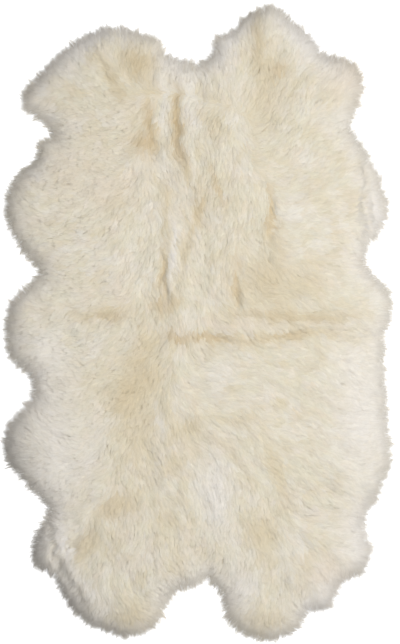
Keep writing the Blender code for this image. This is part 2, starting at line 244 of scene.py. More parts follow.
# Where the wool is tinted: soft ovals, `turn` degrees round from the X axis.
Stain = namedtuple("Stain", "tint x y length width turn strength")
STAINS = (
    # far left pelt
    ("straw", -0.17, 0.735, 0.065, 0.055, 0, 1.0),
    ("amber", -0.165, 0.73, 0.045, 0.035, 0, 0.35),
    ("straw", -0.145, 0.65, 0.09, 0.022, 90, 0.6),
    ("straw", -0.245, 0.67, 0.1, 0.02, 118, 0.95),
    ("straw", -0.3, 0.74, 0.05, 0.03, 60, 0.4),
    ("amber", -0.063, 0.56, 0.11, 0.015, 93, 1.0),
    ("amber", -0.045, 0.45, 0.06, 0.013, 112, 0.6),
    ("amber", -0.14, 0.53, 0.08, 0.014, 100, 0.7),
    ("amber", -0.16, 0.495, 0.045, 0.036, 20, 0.8),
    ("chalk", -0.098, 0.59, 0.1, 0.012, 92, 0.6),
    ("chalk", -0.025, 0.6, 0.1, 0.018, 90, 0.6),
    ("chalk", -0.07, 0.73, 0.05, 0.05, 0, 0.7),
    ("blush", -0.37, 0.43, 0.06, 0.06, 0, 0.55),
    # partly painted light: the paler ovals on the top rims also brighten wool that slopes
    # away from the lamps
    ("chalk", -0.32, 0.8, 0.17, 0.032, 35, 1.0),
    ("chalk", -0.19, 0.855, 0.09, 0.028, -8, 1.0),
    ("blush", -0.25, 0.36, 0.08, 0.06, 0, 0.65),
    ("straw", -0.24, 0.34, 0.05, 0.03, 60, 0.4),
    ("straw", -0.1, 0.36, 0.07, 0.016, 115, 0.45),
    ("straw", -0.09, 0.28, 0.11, 0.012, 86, 0.55),
    ("amber", 0.003, 0.3, 0.048, 0.02, 84, 0.75),
    ("straw", -0.02, 0.39, 0.08, 0.014, 115, 0.6),
    ("straw", -0.03, 0.2, 0.11, 0.011, 75, 0.7),
    ("chalk", -0.068, 0.2, 0.095, 0.013, 84, 0.9),
    ("amber", -0.1, 0.12, 0.085, 0.014, 88, 0.7),
    ("amber", -0.105, 0.035, 0.03, 0.022, 0, 0.55),
    ("amber", -0.068, 0.045, 0.03, 0.012, 60, 0.55),
    ("straw", -0.265, 0.018, 0.075, 0.02, 0, 0.9),
    ("amber", -0.27, 0.008, 0.07, 0.008, 4, 0.3),
    ("blush", -0.225, 0.07, 0.06, 0.04, 90, 0.6),
    # near left pelt
    ("straw", -0.15, -0.065, 0.04, 0.02, 35, 0.75),
    ("amber", -0.07, -0.052, 0.04, 0.016, -30, 0.85),
    ("straw", -0.18, -0.19, 0.125, 0.075, 80, 0.9),
    ("amber", -0.215, -0.215, 0.07, 0.03, 75, 0.3),
    ("amber", -0.15, -0.15, 0.07, 0.022, 110, 0.2),
    ("straw", -0.17, -0.35, 0.08, 0.05, 90, 0.5),
    ("straw", -0.03, -0.31, 0.045, 0.03, 0, 0.7),
    ("straw", -0.08, -0.42, 0.11, 0.024, 32, 0.55),
    ("amber", -0.24, -0.525, 0.045, 0.022, 20, 0.45),
    ("straw", -0.215, -0.525, 0.06, 0.03, 20, 0.75),
    ("amber", -0.33, -0.625, 0.045, 0.018, 62, 0.45),
    ("straw", -0.31, -0.64, 0.06, 0.022, 60, 0.75),
    ("straw", -0.1, -0.56, 0.06, 0.04, 90, 0.45),
    ("straw", -0.06, -0.66, 0.05, 0.03, 90, 0.4),
    ("straw", -0.19, -0.83, 0.07, 0.04, 0, 0.7),
    ("chalk", -0.42, -0.36, 0.24, 0.09, 90, 0.75),
    ("chalk", -0.3, -0.36, 0.09, 0.03, 80, 0.45),
    ("chalk", -0.388, -0.625, 0.085, 0.018, 108, 1.0),
    ("chalk", -0.31, -0.76, 0.07, 0.025, 130, 0.65),
    ("chalk", -0.44, -0.08, 0.08, 0.06, 90, 0.6),
    ("chalk", -0.11, -0.3, 0.06, 0.012, 100, 0.5),
    # painted shade: grey over the lower left rims, which slope away from the lamps
    ("smoke", -0.53, -0.36, 0.13, 0.055, 90, 0.6),
    ("smoke", -0.46, -0.63, 0.09, 0.04, 100, 0.7),
    ("smoke", -0.37, -0.77, 0.11, 0.03, 132, 0.6),
    ("smoke", -0.25, -0.88, 0.09, 0.03, 165, 0.4),
    ("smoke", -0.52, -0.06, 0.08, 0.03, 90, 0.2),
    # near right pelt
    ("amber", 0.035, -0.056, 0.1, 0.012, 0, 0.8),
    ("straw", 0.23, -0.048, 0.13, 0.022, 8, 0.85),
    ("straw", 0.42, -0.036, 0.08, 0.012, -6, 0.55),
    ("amber", 0.25, -0.046, 0.09, 0.009, 8, 0.45),
    ("blush", 0.09, -0.015, 0.11, 0.016, 0, 0.8),
    ("chalk", 0.46, -0.27, 0.23, 0.08, 90, 0.8),
    ("chalk", 0.055, -0.49, 0.12, 0.045, 90, 0.85),
    ("chalk", 0.11, -0.76, 0.07, 0.05, 60, 0.7),
    ("chalk", 0.44, -0.61, 0.07, 0.06, 0, 0.45),
    ("chalk", 0.06, -0.15, 0.06, 0.03, 60, 0.5),
    ("straw", 0.12, -0.28, 0.08, 0.02, 0, 0.5),
    ("straw", 0.225, -0.43, 0.11, 0.018, 107, 0.75),
    ("straw", 0.18, -0.6, 0.065, 0.04, 100, 0.8),
    ("blush", 0.36, -0.715, 0.06, 0.045, 0, 0.9),
    # partly painted light: the paler oval on the lower right rim also brightens wool that
    # slopes away from the lamps
    ("chalk", 0.34, -0.815, 0.13, 0.045, 45, 1.0),
    ("chalk", 0.47, -0.62, 0.09, 0.035, 90, 0.8),
    ("straw", 0.31, -0.68, 0.04, 0.016, 60, 0.5),
    ("straw", 0.19, -0.84, 0.07, 0.03, 0, 0.6),
    ("straw", 0.07, -0.35, 0.07, 0.02, 140, 0.45),
    # far right pelt
    ("straw", 0.205, 0.1, 0.11, 0.085, 0, 0.7),
    ("amber", 0.18, 0.11, 0.06, 0.02, 45, 0.15),
    ("straw", 0.32, 0.12, 0.05, 0.03, 60, 0.5),
    ("amber", 0.105, 0.09, 0.075, 0.014, 88, 0.75),
    ("amber", 0.22, 0.014, 0.1, 0.011, 0, 0.55),
    ("straw", 0.23, 0.012, 0.11, 0.02, 0, 0.65),
    ("amber", 0.345, 0.012, 0.05, 0.012, 0, 0.45),
    ("straw", 0.39, 0.012, 0.08, 0.02, 0, 0.75),
    ("amber", 0.205, 0.29, 0.075, 0.012, 90, 0.9),
    ("straw", 0.225, 0.22, 0.08, 0.03, 95, 0.45),
    ("amber", 0.055, 0.37, 0.065, 0.013, 108, 0.65),
    ("straw", 0.035, 0.54, 0.07, 0.022, 112, 0.6),
    ("chalk", 0.27, 0.3, 0.06, 0.03, 90, 0.4),
    ("amber", 0.165, 0.79, 0.06, 0.014, 95, 0.55),
    ("straw", 0.17, 0.78, 0.08, 0.03, 95, 0.6),
    ("straw", 0.19, 0.65, 0.11, 0.05, 85, 0.65),
    ("amber", 0.225, 0.715, 0.04, 0.018, 35, 0.5),
    ("blush", 0.42, 0.69, 0.06, 0.06, 0, 0.85),
    ("chalk", 0.508, 0.3, 0.1, 0.025, 90, 1.0),
    # painted shade: a grey line along the crease near the right rim, where its hollow lies
    # in shade
    ("smoke", 0.468, 0.33, 0.11, 0.006, 92, 0.45),
    # partly painted light: the paler ovals on the top rims also brighten wool that slopes
    # away from the lamps
    ("chalk", 0.31, 0.795, 0.12, 0.034, 135, 1.0),
    ("chalk", 0.08, 0.8, 0.1, 0.025, 50, 0.9),
)
STRAY = 0.012  # how far the edges of stains and creases stray
STRAY_SIZE = 0.024
# Tints mingled all over the wool, in patches of about a size.
Mottle = namedtuple("Mottle", "tint size strength")
MOTTLES = (
    ("straw", 0.04, 0.45),
    ("chalk", 0.05, 0.45),
    ("blush", 0.036, 0.4),
    ("straw", 0.017, 0.35),
    ("blush", 0.014, 0.45),
    ("chalk", 0.019, 0.35),
)
MOTTLE_RATIO = 2.3  # how much finer the patches within them are
STREAK_WIDTH = 0.012  # size of the streaks along the wool
STREAK_LENGTH = 0.03
STREAKS = 0.05  # how much straw they show
STREAKS_SPREAD = 0.15  # how much that varies
RIM_CHALK_AND_LIGHT = 0.65  # how much the rim's wool is paled: partly its whiter colour there, partly painted light brightening rims that slope away from the lamps
RIM_CHALK_AND_LIGHT_WIDTH = 0.050
ROOT_SHADE = (0.95, 0.90, 0.80)  # the wool's colour near the hide, times its own
ROOT_SHARE = 0.6  # the share of a strand over which that fades out
PAINTED_SIDE_SHADE = 0.036  # painted shade: how much darker the sides of a lock are than its middle, towards the gaps between locks
LOCK_SHADE = 0.018  # how much the locks differ in brightness
STRAND_SHADE = 0.014  # how much the strands of one lock do
SUEDE = (0.62, 0.53, 0.40)
SUEDE_DARK = (0.50, 0.41, 0.29)
THREAD = (0.77, 0.68, 0.53)
THREAD_DARK = (0.56, 0.50, 0.38)

# ---- fibres
FIBRES_PER_METRE = 1500  # how finely a strand shows single fibres
FIBRE_CHANGES = 60  # how often in a metre a fibre changes along its length
FIBRE_SHIFT = 0.01  # how far apart two strands lie on the fibre pattern
FIBRE_PATTERNS = 97  # how many strands have a pattern of their own
CRIMP_LENGTH = 0.009  # length of one wave of the fibres' crimp
CRIMP_WIDTH = 0.0006  # how far it swings

# ---- stage
CAMERA_AT = (0.004, 0.0015, 7.03)
VIEW_DISTANCE = 7.0
VIEW_LENGTH = 1.8032  # what the picture's long side spans at that distance
SENSOR_SIZE = 36.0  # the sensor's long side, in millimetres
WORLD_LIGHT = 0.02
FLOOR_SIZE = 80.0  # wide enough for its edge to stay out of low side views
FLOOR_GLOW = 0.45  # light of the floor's own, which keeps it evenly white
# The softboxes: place, the point they face, power in watts and width.
Softbox = namedtuple("Softbox", "name place aim power width")
SOFTBOXES = (
    Softbox("overhead", (0.8, 0.0, 3.2), (0.1, 0.0, 0.0), 87, 6.5),
    Softbox("key", (0.9, 0.2, 3.2), (0.1, 0.05, 0.0), 133, 3.2),
)


# ---- geometry
def straight(start, end, step):
    """Evenly spaced points from start up to, but not including, end."""
    count = max(1, round(float(np.linalg.norm(end - start)) / step))
    return [start + (end - start) * i / count for i in range(count)]


def unit(vectors):
    """The vectors scaled to a length of 1."""
    return vectors / np.maximum(np.linalg.norm(vectors, axis=-1, keepdims=True), 1e-9)


def in_parts(points):
    """The points in groups small enough to compare with a whole outline."""
    return np.array_split(points, max(1, len(points) // POINTS_AT_ONCE))


def distance_to(points, starts, ends):
    """Distance of each point from the nearest of the segments."""
    found = []
    for part in in_parts(points):
        along = ends - starts
        offset = part[:, None] - starts[None]
        share = (offset * along).sum(2) / np.maximum((along**2).sum(1), 1e-18)
        foot = starts + np.clip(share, 0, 1)[..., None] * along
        found.append(np.linalg.norm(part[:, None] - foot, axis=2).min(1))
    return np.concatenate(found)


def is_inside(points, outline):
    """Whether each point is inside the outline, by counting crossings."""
    x1, y1 = outline.T
    x2, y2 = np.roll(outline, -1, axis=0).T
    rise = np.where(y1 == y2, 1.0, y2 - y1)
    found = []
    for part in in_parts(points):
        px, py = part[:, 0, None], part[:, 1, None]
        spans = (y1 > py) != (y2 > py)
        crossing_x = x1 + (py - y1) * (x2 - x1) / rise
        found.append(((spans & (px < crossing_x)).sum(1) % 2) == 1)
    return np.concatenate(found)


def smooth_noise(points, cell, seed):
    """Smooth noise from -1 to 1 over the plan, with features of about cell."""
    size = 256
    lattice = np.random.default_rng(seed).uniform(-1, 1, (size, size))
    place = points / cell + size / 2
    corner = np.floor(place).astype(int)
    share = place - corner
    share = share * share * (3 - 2 * share)
    i, j = corner[:, 0] % size, corner[:, 1] % size
    i2, j2 = (i + 1) % size, (j + 1) % size
    low = lattice[i, j] * (1 - share[:, 0]) + lattice[i2, j] * share[:, 0]
    high = lattice[i, j2] * (1 - share[:, 0]) + lattice[i2, j2] * share[:, 0]
    return low * (1 - share[:, 1]) + high * share[:, 1]


def near_rim(inset, width):
    """A share that is 1 on the rim and fades over about width inside it."""
    return np.exp(-((inset / width) ** 2))


def blurred(grid, times):
    """The grid after a few passes of a 3 by 3 average."""
    for _ in range(times):
        padded = np.pad(grid, 1, mode="edge")
        grid = sum(
            padded[i : i + grid.shape[0], j : j + grid.shape[1]]
            for i in range(3)
            for j in range(3)
        ) / 9
    return grid


def hex_field(low, high, step, rng, jitter):
    """A jittered hexagonal field of points over a box."""
    row_step = step * math.sqrt(3) / 2
    columns = int((high[0] - low[0]) / step) + 2
    rows = int((high[1] - low[1]) / row_step) + 2
    line, column = np.meshgrid(np.arange(rows), np.arange(columns), indexing="ij")
    field = np.stack([(column + 0.5 * (line % 2)) * step, line * row_step], -1)
    field = field.reshape(-1, 2) + low
    return field + rng.uniform(-jitter, jitter, field.shape) * step


def inner_field(outline, step, rng, jitter, clear):
    """A field of points inside an outline, at least clear away from it."""
    field = hex_field(outline.min(0), outline.max(0), step, rng, jitter)
    field = field[is_inside(field, outline)]
    return field[distance_to(field, outline, np.roll(outline, -1, axis=0)) > clear]


# ---- the frame
def outline_of(node):
    """The outline of a solid's flat underside, to the left all the way."""
    solid = bmesh.new()
    solid.from_mesh(node.data)
    bmesh.ops.remove_doubles(solid, verts=solid.verts, dist=1e-5)
    solid.normal_update()
    follower = {}
    for face in solid.faces:
        if face.normal.z > FACING_DOWN:
            continue
        for loop in face.loops:
            across = [f for f in loop.edge.link_faces if f != face]
            if across[0].normal.z > FACING_DOWN:
                follower[loop.link_loop_next.vert] = loop.vert
    first = here = next(iter(follower))
    walk = []
    while True:
        walk.append(here.co.xy[:])
        here = follower[here]
        if here == first:
            break
    solid.free()
    return np.array(walk)


class Plan:
    """Maps of the rug from above: the distance inside its rim and the wool's height."""

    def __init__(self, nodes):
        self.outlines = {name: outline_of(node) for name, node in nodes.items()}
        self.find_rim()
        low, high = (Vector(corner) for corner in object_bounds())
        self.low = np.array(low.xy) - GRID_MARGIN
        self.shape = np.ceil((np.array(high.xy) + GRID_MARGIN - self.low) / GRID_STEP)
        self.shape = self.shape.astype(int) + 1
        columns, lines = np.meshgrid(*(np.arange(n) for n in self.shape), indexing="ij")
        places = self.low + GRID_STEP * np.stack([columns, lines], -1).reshape(-1, 2)
        self.inset = self.signed_inset(places).reshape(self.shape)
        self.height = self.wool_heights(nodes, places, high.z).reshape(self.shape)
        self.outward = -np.stack(np.gradient(blurred(self.inset, 3), GRID_STEP), -1)
        self.combing = combed(places, self).reshape(*self.shape, 2)
        self.relief = self.wool_relief(places).reshape(self.shape)
        self.top = np.maximum(self.height + self.relief, 0)
        shaded = blurred(self.height, RIM_SOFTENING) + blurred(self.relief, 1)
        slope = np.stack(np.gradient(shaded, GRID_STEP), -1)
        self.normal = unit(np.dstack([-slope, np.ones(self.shape)]))
        spread = np.gradient(self.combing[..., 0], GRID_STEP, axis=0)
        spread += np.gradient(self.combing[..., 1], GRID_STEP, axis=1)
        self.parting = np.maximum(blurred(spread, 2), 0)

    def find_rim(self):
        """Sets apart the free rim of each outline from where it is sewn to others."""
        self.rim_flags = {}
        starts, ends = [], []
        for name, outline in self.outlines.items():
            after = np.roll(outline, -1, axis=0)
            others = [o for n, o in self.outlines.items() if n != name]
            other_starts = np.concatenate(others)
            other_ends = np.concatenate([np.roll(o, -1, axis=0) for o in others])
            middles = (outline + after) / 2
            free = distance_to(middles, other_starts, other_ends) > TOUCHING
            self.rim_flags[name] = free
            starts.append(outline[free])
            ends.append(after[free])
        self.rim = (np.concatenate(starts), np.concatenate(ends))

    def wool_relief(self, places):
        """How far tufts and creases lift or sink the lock tips."""
        relief = TUFT_RISE * flow_noise(places, self, TUFT_WIDTH, TUFT_LENGTH, SEED + 11)
        relief += CLUMP_RISE * smooth_noise(places, CLUMP_WIDTH, SEED + 13)
        strayed = stray(places)
        for crease in starmap(Crease, CREASES):
            ends = np.array([[crease.x1, crease.y1], [crease.x2, crease.y2]])
            away = distance_to(strayed, ends[:1], ends[1:]) / crease.width
            relief -= crease.depth * np.exp(-(away**2))
        inset = np.maximum(self.inset.ravel(), 0)
        return relief * np.clip(inset / RIM_SMOOTH_WIDTH, 0, 1)

    def signed_inset(self, places):
        """Distance of each place from the rim, negative outside the rug."""
        over = np.zeros(len(places), bool)
        for outline in self.outlines.values():
            for nudge in (-SEAM_NUDGE, 0.0, SEAM_NUDGE):
                over |= is_inside(places + nudge, outline)
        return distance_to(places, *self.rim) * np.where(over, 1, -1)

    def wool_heights(self, nodes, places, top):
        """Heights of the solids' upper sides, 0 beyond them."""
        corners, faces = [], []
        for node in nodes.values():
            first = len(corners)
            corners += [v.co.copy() for v in node.data.vertices]
            faces += [[first + i for i in p.vertices] for p in node.data.polygons]
        tree = BVHTree.FromPolygons(corners, faces)
        down = Vector((0, 0, -1))
        heights = []
        for x, y in places:
            for nudge in (0.0, RAY_NUDGE, -RAY_NUDGE):
                hit = tree.ray_cast(Vector((x + nudge, y + nudge, top + 0.1)), down)
                if hit[0] is not None:
                    break
            heights.append(hit[0].z if hit[0] is not None else 0.0)
        return np.array(heights)

    def read(self, grid, points):
        """The map's values at the points, by linear interpolation."""
        place = np.clip((points - self.low) / GRID_STEP, 0, self.shape - 1.001)
        i, j = np.floor(place).astype(int).T
        u, v = (place - np.floor(place)).T
        if grid.ndim == 3:
            u, v = u[:, None], v[:, None]
        near = grid[i, j] * (1 - u) + grid[i + 1, j] * u
        far = grid[i, j + 1] * (1 - u) + grid[i + 1, j + 1] * u
        return near * (1 - v) + far * v


# ---- wool
def combed(points, plan):
    """The unit direction in which the wool lies at each point."""
    pull = np.zeros((len(points), 2))
    for stroke in starmap(Stroke, STROKES):
        away = ((points - (stroke.x, stroke.y)) ** 2).sum(1) / stroke.reach**2
        turn = math.radians(stroke.heading)
        pull += np.exp(-away / 2)[:, None] * (math.cos(turn), math.sin(turn))
    inset = np.maximum(plan.read(plan.inset, points), 0)
    rim = RIM_PULL * near_rim(inset, RIM_PULL_WIDTH)
    pull += rim[:, None] * unit(plan.read(plan.outward, points))
    turn = np.radians(SWIRL * smooth_noise(points, SWIRL_SIZE, SEED + 1))
    turn += np.radians(SMALL_SWIRL * smooth_noise(points, SMALL_SWIRL_SIZE, SEED + 2))
    cos, sin = np.cos(turn), np.sin(turn)
    x, y = unit(pull).T
    return np.stack([x * cos - y * sin, x * sin + y * cos], 1)


def stray(points):
    """The points moved about a little, so that drawn shapes lose their even edges."""
    wander = [smooth_noise(points, STRAY_SIZE, SEED + k) for k in (21, 22)]
    return points + STRAY * np.stack(wander, 1)


def flow_noise(points, plan, cell, length, seed):
    """Noise drawn out along the combing into streaks about cell wide."""
    total = smooth_noise(points, cell, seed)
    weight = 1.0
    step = cell / 2
    for sign in (-1, 1):
        place = points
        for _ in range(round(length / 2 / step)):
            place = place + sign * step * plan.read(plan.combing, place)
            total = total + smooth_noise(place, cell, seed)
            weight += 1
    return total / math.sqrt(weight)


def wool_tint(points, plan):
    """The wool's colour over the rug: its tints, with painted shade and painted light on
    some rims.
    """
    tint = np.tile(np.array(CREAM), (len(points), 1))

    def blend(share, name):
        tint[:] += share[:, None] * (np.array(TINTS[name]) - tint)

    streaks = flow_noise(points, plan, STREAK_WIDTH, STREAK_LENGTH, SEED + 23)
    blend(np.maximum(STREAKS + STREAKS_SPREAD * streaks, 0), "straw")
    for index, mottle in enumerate(starmap(Mottle, MOTTLES)):
        patches = smooth_noise(points, mottle.size, SEED + 30 + index)
        finer = smooth_noise(points, mottle.size / MOTTLE_RATIO, SEED + 40 + index)
        blend(mottle.strength * np.clip(patches + 0.5 * finer, 0, 1), mottle.tint)
    inset = np.maximum(plan.read(plan.inset, points), 0)
    # paler wool along the rim, partly painted light for rims that slope away from the lamps
    blend(RIM_CHALK_AND_LIGHT * near_rim(inset, RIM_CHALK_AND_LIGHT_WIDTH), "chalk")
    place = stray(points)
    for stain in starmap(Stain, STAINS):
        turn = math.radians(stain.turn)
        x, y = (place - (stain.x, stain.y)).T
        along = (x * math.cos(turn) + y * math.sin(turn)) / stain.length
        across = (y * math.cos(turn) - x * math.sin(turn)) / stain.width
        blend(stain.strength * np.exp(-(along**2) - across**2), stain.tint)
    return tint


def lock_tips(plan, rng):
    """Where every lock of the rug ends."""
    low, high = plan.low, plan.low + GRID_STEP * (plan.shape - 1)
    everywhere = hex_field(low, high, LOCK_STEP, rng, LOCK_JITTER)
    extra = hex_field(low, high, LOCK_STEP, rng, LOCK_JITTER)
    extra = extra[plan.read(plan.inset, extra) < RIM_BAND]
    tips = np.concatenate([everywhere, extra])
    ragged = RIM_RAGGED * rng.normal(0, 1, len(tips)) - RIM_OVERHANG
    return tips[plan.read(plan.inset, tips) > ragged]


def lock_paths(plan, rng):
    """The middle line of every lock in plan, (locks, steps, 2), root first."""
    place = lock_tips(plan, rng)
    reach = LOCK_REACH * rng.uniform(*REACH_RANGE, len(place))
    way = unit(plan.read(plan.combing, place))
    path = [place]
    for after, before in zip(STRAND_STEPS[:0:-1], STRAND_STEPS[-2::-1]):
        step = (after - before) * reach[:, None]
        next_way = unit(plan.read(plan.combing, place - step / 2 * way))
        turns_back = (next_way * way).sum(1) < SHARPEST_BEND
        way = np.where(turns_back[:, None], way, next_way)
        place = place - step * way
        path.append(place)
    path = np.stack(path[::-1], 1)
    return path[plan.read(plan.inset, path[:, 0]) > ROOT_INSET]


def owners(roots, plan):
    """The index of the pelt that each root stands on, or -1."""
    owner = np.full(len(roots), -1)
    for index, name in enumerate(sorted(plan.outlines)):
        owner[is_inside(roots, plan.outlines[name])] = index
    return owner


# The strands of a pelt: their paths, the ways that their sides face, their
# widest widths, the locks that they are in and how bright they are, painted shade at lock
# sides included.
Strands = namedtuple("Strands", "path side width lock shade")


def strands(middle, plan, rng):
    """The strands of the locks with the given middle lines."""
    locks, steps = middle.shape[:2]
    lock = np.repeat(np.arange(locks), STRANDS_PER_LOCK)
    total = len(lock)
    t = np.array(STRAND_STEPS)
    forward = unit(np.gradient(middle, axis=1))
    across = np.stack([forward[..., 1], -forward[..., 0]], -1)[lock]
    at_rim = near_rim(plan.read(plan.inset, middle[:, -1]), RIM_FINE_WIDTH)[:, None]
    taper = np.array(LOCK_TAPER) * (1 - at_rim) + np.array(RIM_TAPER) * at_rim

    # in plan: spread over the lock's width, waved, and slipped along it
    spot = np.tile(np.linspace(-1, 1, STRANDS_PER_LOCK), locks)
    spot += rng.normal(0, SPOT_SPREAD, total)
    phase = rng.uniform(0, 2 * math.pi, locks)[lock] + rng.normal(0, PHASE_SPREAD, total)
    wave = CRIMP * np.sin(2 * math.pi * CRIMP_WAVES * t + phase[:, None])
    aside = spot[:, None] * taper[lock] * LOCK_WIDTH / 2 + wave
    path = np.empty((total, steps, 3))
    path[..., :2] = middle[lock] + aside[..., None] * across
    slip = rng.normal(0, SLIP, total) * (1 + RIM_SLIP * at_rim[lock, 0])
    path[..., :2] += (slip[:, None] * t)[..., None] * forward[lock]

    # in height: crowned over the lock, from the under-wool up to the fleece's top
    tips = middle[:, -1]
    ripple = RIPPLE_RISE * flow_noise(tips, plan, RIPPLE_WIDTH, RIPPLE_LENGTH, SEED + 12)
    depth = LOCK_DEPTH - ripple + rng.normal(0, LOCK_DEPTH_SPREAD, locks)
    depth = np.maximum(depth, 0)[lock]
    depth += CROWN * spot**2 + rng.uniform(0, DEPTH_SPREAD, total)
    sunk = (UNDER_DEPTH + ROOT_DEPTH) * (1 - t) ** ROOT_CURVE
    flat = path[..., :2].reshape(-1, 2)
    parting = plan.read(plan.parting, flat).reshape(total, steps)
    top = plan.read(plan.top, flat).reshape(total, steps)
    height = top - sunk / (1 + LOCK_REACH * parting) - depth[:, None]
    path[..., 2] = np.maximum(height, MIDDLE_CLEARANCE)

    roll = ROLL * spot + rng.normal(0, ROLL_SPREAD, total)
    side = np.empty((total, steps, 3))
    side[..., :2] = across * np.cos(roll)[:, None, None]
    side[..., 2] = -np.sin(roll)[:, None]
    # random brightness of each lock and strand, less painted shade at a lock's sides
    shade = 1 + LOCK_SHADE * rng.normal(0, 1, locks)[lock]
    shade += STRAND_SHADE * rng.normal(0, 1, total) - PAINTED_SIDE_SHADE * np.minimum(spot**2, 1)
    width = STRAND_WIDTH + (RIM_STRAND_WIDTH - STRAND_WIDTH) * at_rim[lock, 0]
    return Strands(path, side, width * rng.uniform(*WIDTH_RANGE, total), lock, shade)


def strand_points(path, side, half):
    """Two edge points at each bend of every strand, and one at its tip."""
    edge = half[:, :-1, None] * side[:, :-1]
    points = np.empty((len(path), 2 * path.shape[1] - 1, 3))
    points[:, 0:-1:2] = path[:, :-1] - edge
    points[:, 1:-1:2] = path[:, :-1] + edge
    points[:, -1] = path[:, -1]
    points[..., 2] = np.maximum(points[..., 2], FLOOR_CLEARANCE)
    return points


def strand_faces(total, steps):
    """The corners of all faces in one row, and where in it each face starts."""
    per_strand = 2 * steps - 1
    quads = [[2 * k, 2 * k + 1, 2 * k + 3, 2 * k + 2] for k in range(steps - 2)]
    corners = np.array(sum(quads, []) + [per_strand - 3, per_strand - 2, per_strand - 1])
    first = np.arange(total)[:, None] * per_strand
    sizes = np.tile([4] * (steps - 2) + [3], total)
    return (first + corners).ravel(), np.concatenate([[0], np.cumsum(sizes)[:-1]])


def fibre_places(path, half):
    """Where each point of the strands lies on the fibre pattern, in metres."""
    total, steps = path.shape[:2]
    lengths = np.linalg.norm(np.diff(path, axis=1), axis=2).cumsum(1)
    along = np.zeros((total, 2 * steps - 1))
    along[:, 2:-1:2] = along[:, 3:-1:2] = lengths[:, :-1]
    along[:, -1] = lengths[:, -1]
    beside = np.zeros_like(along)
    beside[:, 0:-1:2] = -half[:, :-1]
    beside[:, 1:-1:2] = half[:, :-1]
    beside += FIBRE_SHIFT * (np.arange(total) % FIBRE_PATTERNS)[:, None]
    return np.stack([beside.ravel(), along.ravel()], 1)


def strand_normals(points, side, plan):
    """Shading normals: the fleece's own, with a little of each strand's roll."""
    fleece = plan.read(plan.normal, points[..., :2].reshape(-1, 2)).reshape(points.shape)
    lean = np.concatenate([np.repeat(side[:, :-1], 2, axis=1), side[:, -1:]], 1)
    rolled = np.cross(lean, unit(points[:, [-1]] - points[:, [0]]))
    rolled *= np.sign(rolled[..., 2:])
    return unit(fleece + ROUNDNESS * unit(rolled))


def strand_mesh(name, middle, plan, rng):
    """One mesh of all the strands of a pelt, pointed at their tips."""
    made = strands(middle, plan, rng)
    half = 0.5 * made.width[:, None] * np.array(STRAND_TAPER)
    points = strand_points(made.path, made.side, half)
    corners, starts = strand_faces(*made.path.shape[:2])
    mesh = bpy.data.meshes.new(name)
    mesh.vertices.add(points.shape[0] * points.shape[1])
    mesh.vertices.foreach_set("co", points.astype(np.float32).ravel())
    mesh.loops.add(len(corners))
    mesh.loops.foreach_set("vertex_index", corners.astype(np.int32))
    mesh.polygons.add(len(starts))
    mesh.polygons.foreach_set("loop_start", starts.astype(np.int32))
    mesh.update()
    layer = mesh.uv_layers.new(name="fibres")
    fibres = fibre_places(made.path, half)[corners]
    layer.data.foreach_set("uv", fibres.astype(np.float32).ravel())
    mesh.shade_smooth()
    normals = strand_normals(points, made.side, plan)
    mesh.normals_split_custom_set_from_vertices(normals.reshape(-1, 3).tolist())

    share = np.append(np.repeat(STRAND_STEPS[:-1], 2), 1.0)
    deep = np.clip(1 - share / ROOT_SHARE, 0, 1)[None, :, None]
    tint = (wool_tint(middle[:, -1], plan)[made.lock] * made.shade[:, None])[:, None]
    paint(mesh, tint * (1 - deep * (1 - np.array(ROOT_SHADE))))
    return mesh


def paint(mesh, colours):
    """Keeps a colour for each vertex, where the wool's materials read it."""
    rgba = np.ones((len(mesh.vertices), 4), np.float32)
    rgba[:, :3] = np.clip(colours.reshape(-1, 3), 0, 1)
    layer = mesh.color_attributes.new("wool_tint", "FLOAT_COLOR", "POINT")
    layer.data.foreach_set("color", rgba.ravel())


# ---- plates
def inset_outline(name, plan, depth):
    """The pelt's outline with its free rim drawn in by depth.

    A drawn-in point is left out where the rim turns so tightly that it lands
    outside the pelt or too near the rim, and so is a seam point near the rim.
    """
    outline, free = plan.outlines[name], plan.rim_flags[name]
    ahead = np.roll(outline, -1, axis=0)
    behind = np.roll(outline, 1, axis=0)
    on_rim = free & np.roll(free, 1)
    heading = np.roll(outline, -3, axis=0) - np.roll(outline, 3, axis=0)
    inward = unit(np.stack([-heading[:, 1], heading[:, 0]], 1))
    drawn = outline + inward * depth
    ends_rim = np.roll(free, 1) & ~free
    starts_rim = free & ~np.roll(free, 1)
    kept = []
    rim_ends = outline[ends_rim | starts_rim]
    for i in range(len(outline)):
        if on_rim[i]:
            point = drawn[i : i + 1]
            deep_enough = plan.read(plan.inset, point)[0] > LEAST_INSET * depth
            if deep_enough and is_inside(point, outline)[0]:
                kept.append(drawn[i])
        elif ends_rim[i]:
            kept.append(outline[i] + unit(ahead[i] - outline[i]) * depth)
        elif starts_rim[i]:
            kept.append(outline[i] + unit(behind[i] - outline[i]) * depth)
        elif np.linalg.norm(rim_ends - outline[i], axis=1).min() > CORNER_CLEAR * depth:
            kept.append(outline[i])
    return np.array(kept)


def finished(name, made):
    """The smooth mesh of what was built, with its faces turned outwards."""
    bmesh.ops.recalc_face_normals(made, faces=made.faces)
    mesh = bpy.data.meshes.new(name)
    made.to_mesh(mesh)
    made.free()
    mesh.shade_smooth()
    return mesh


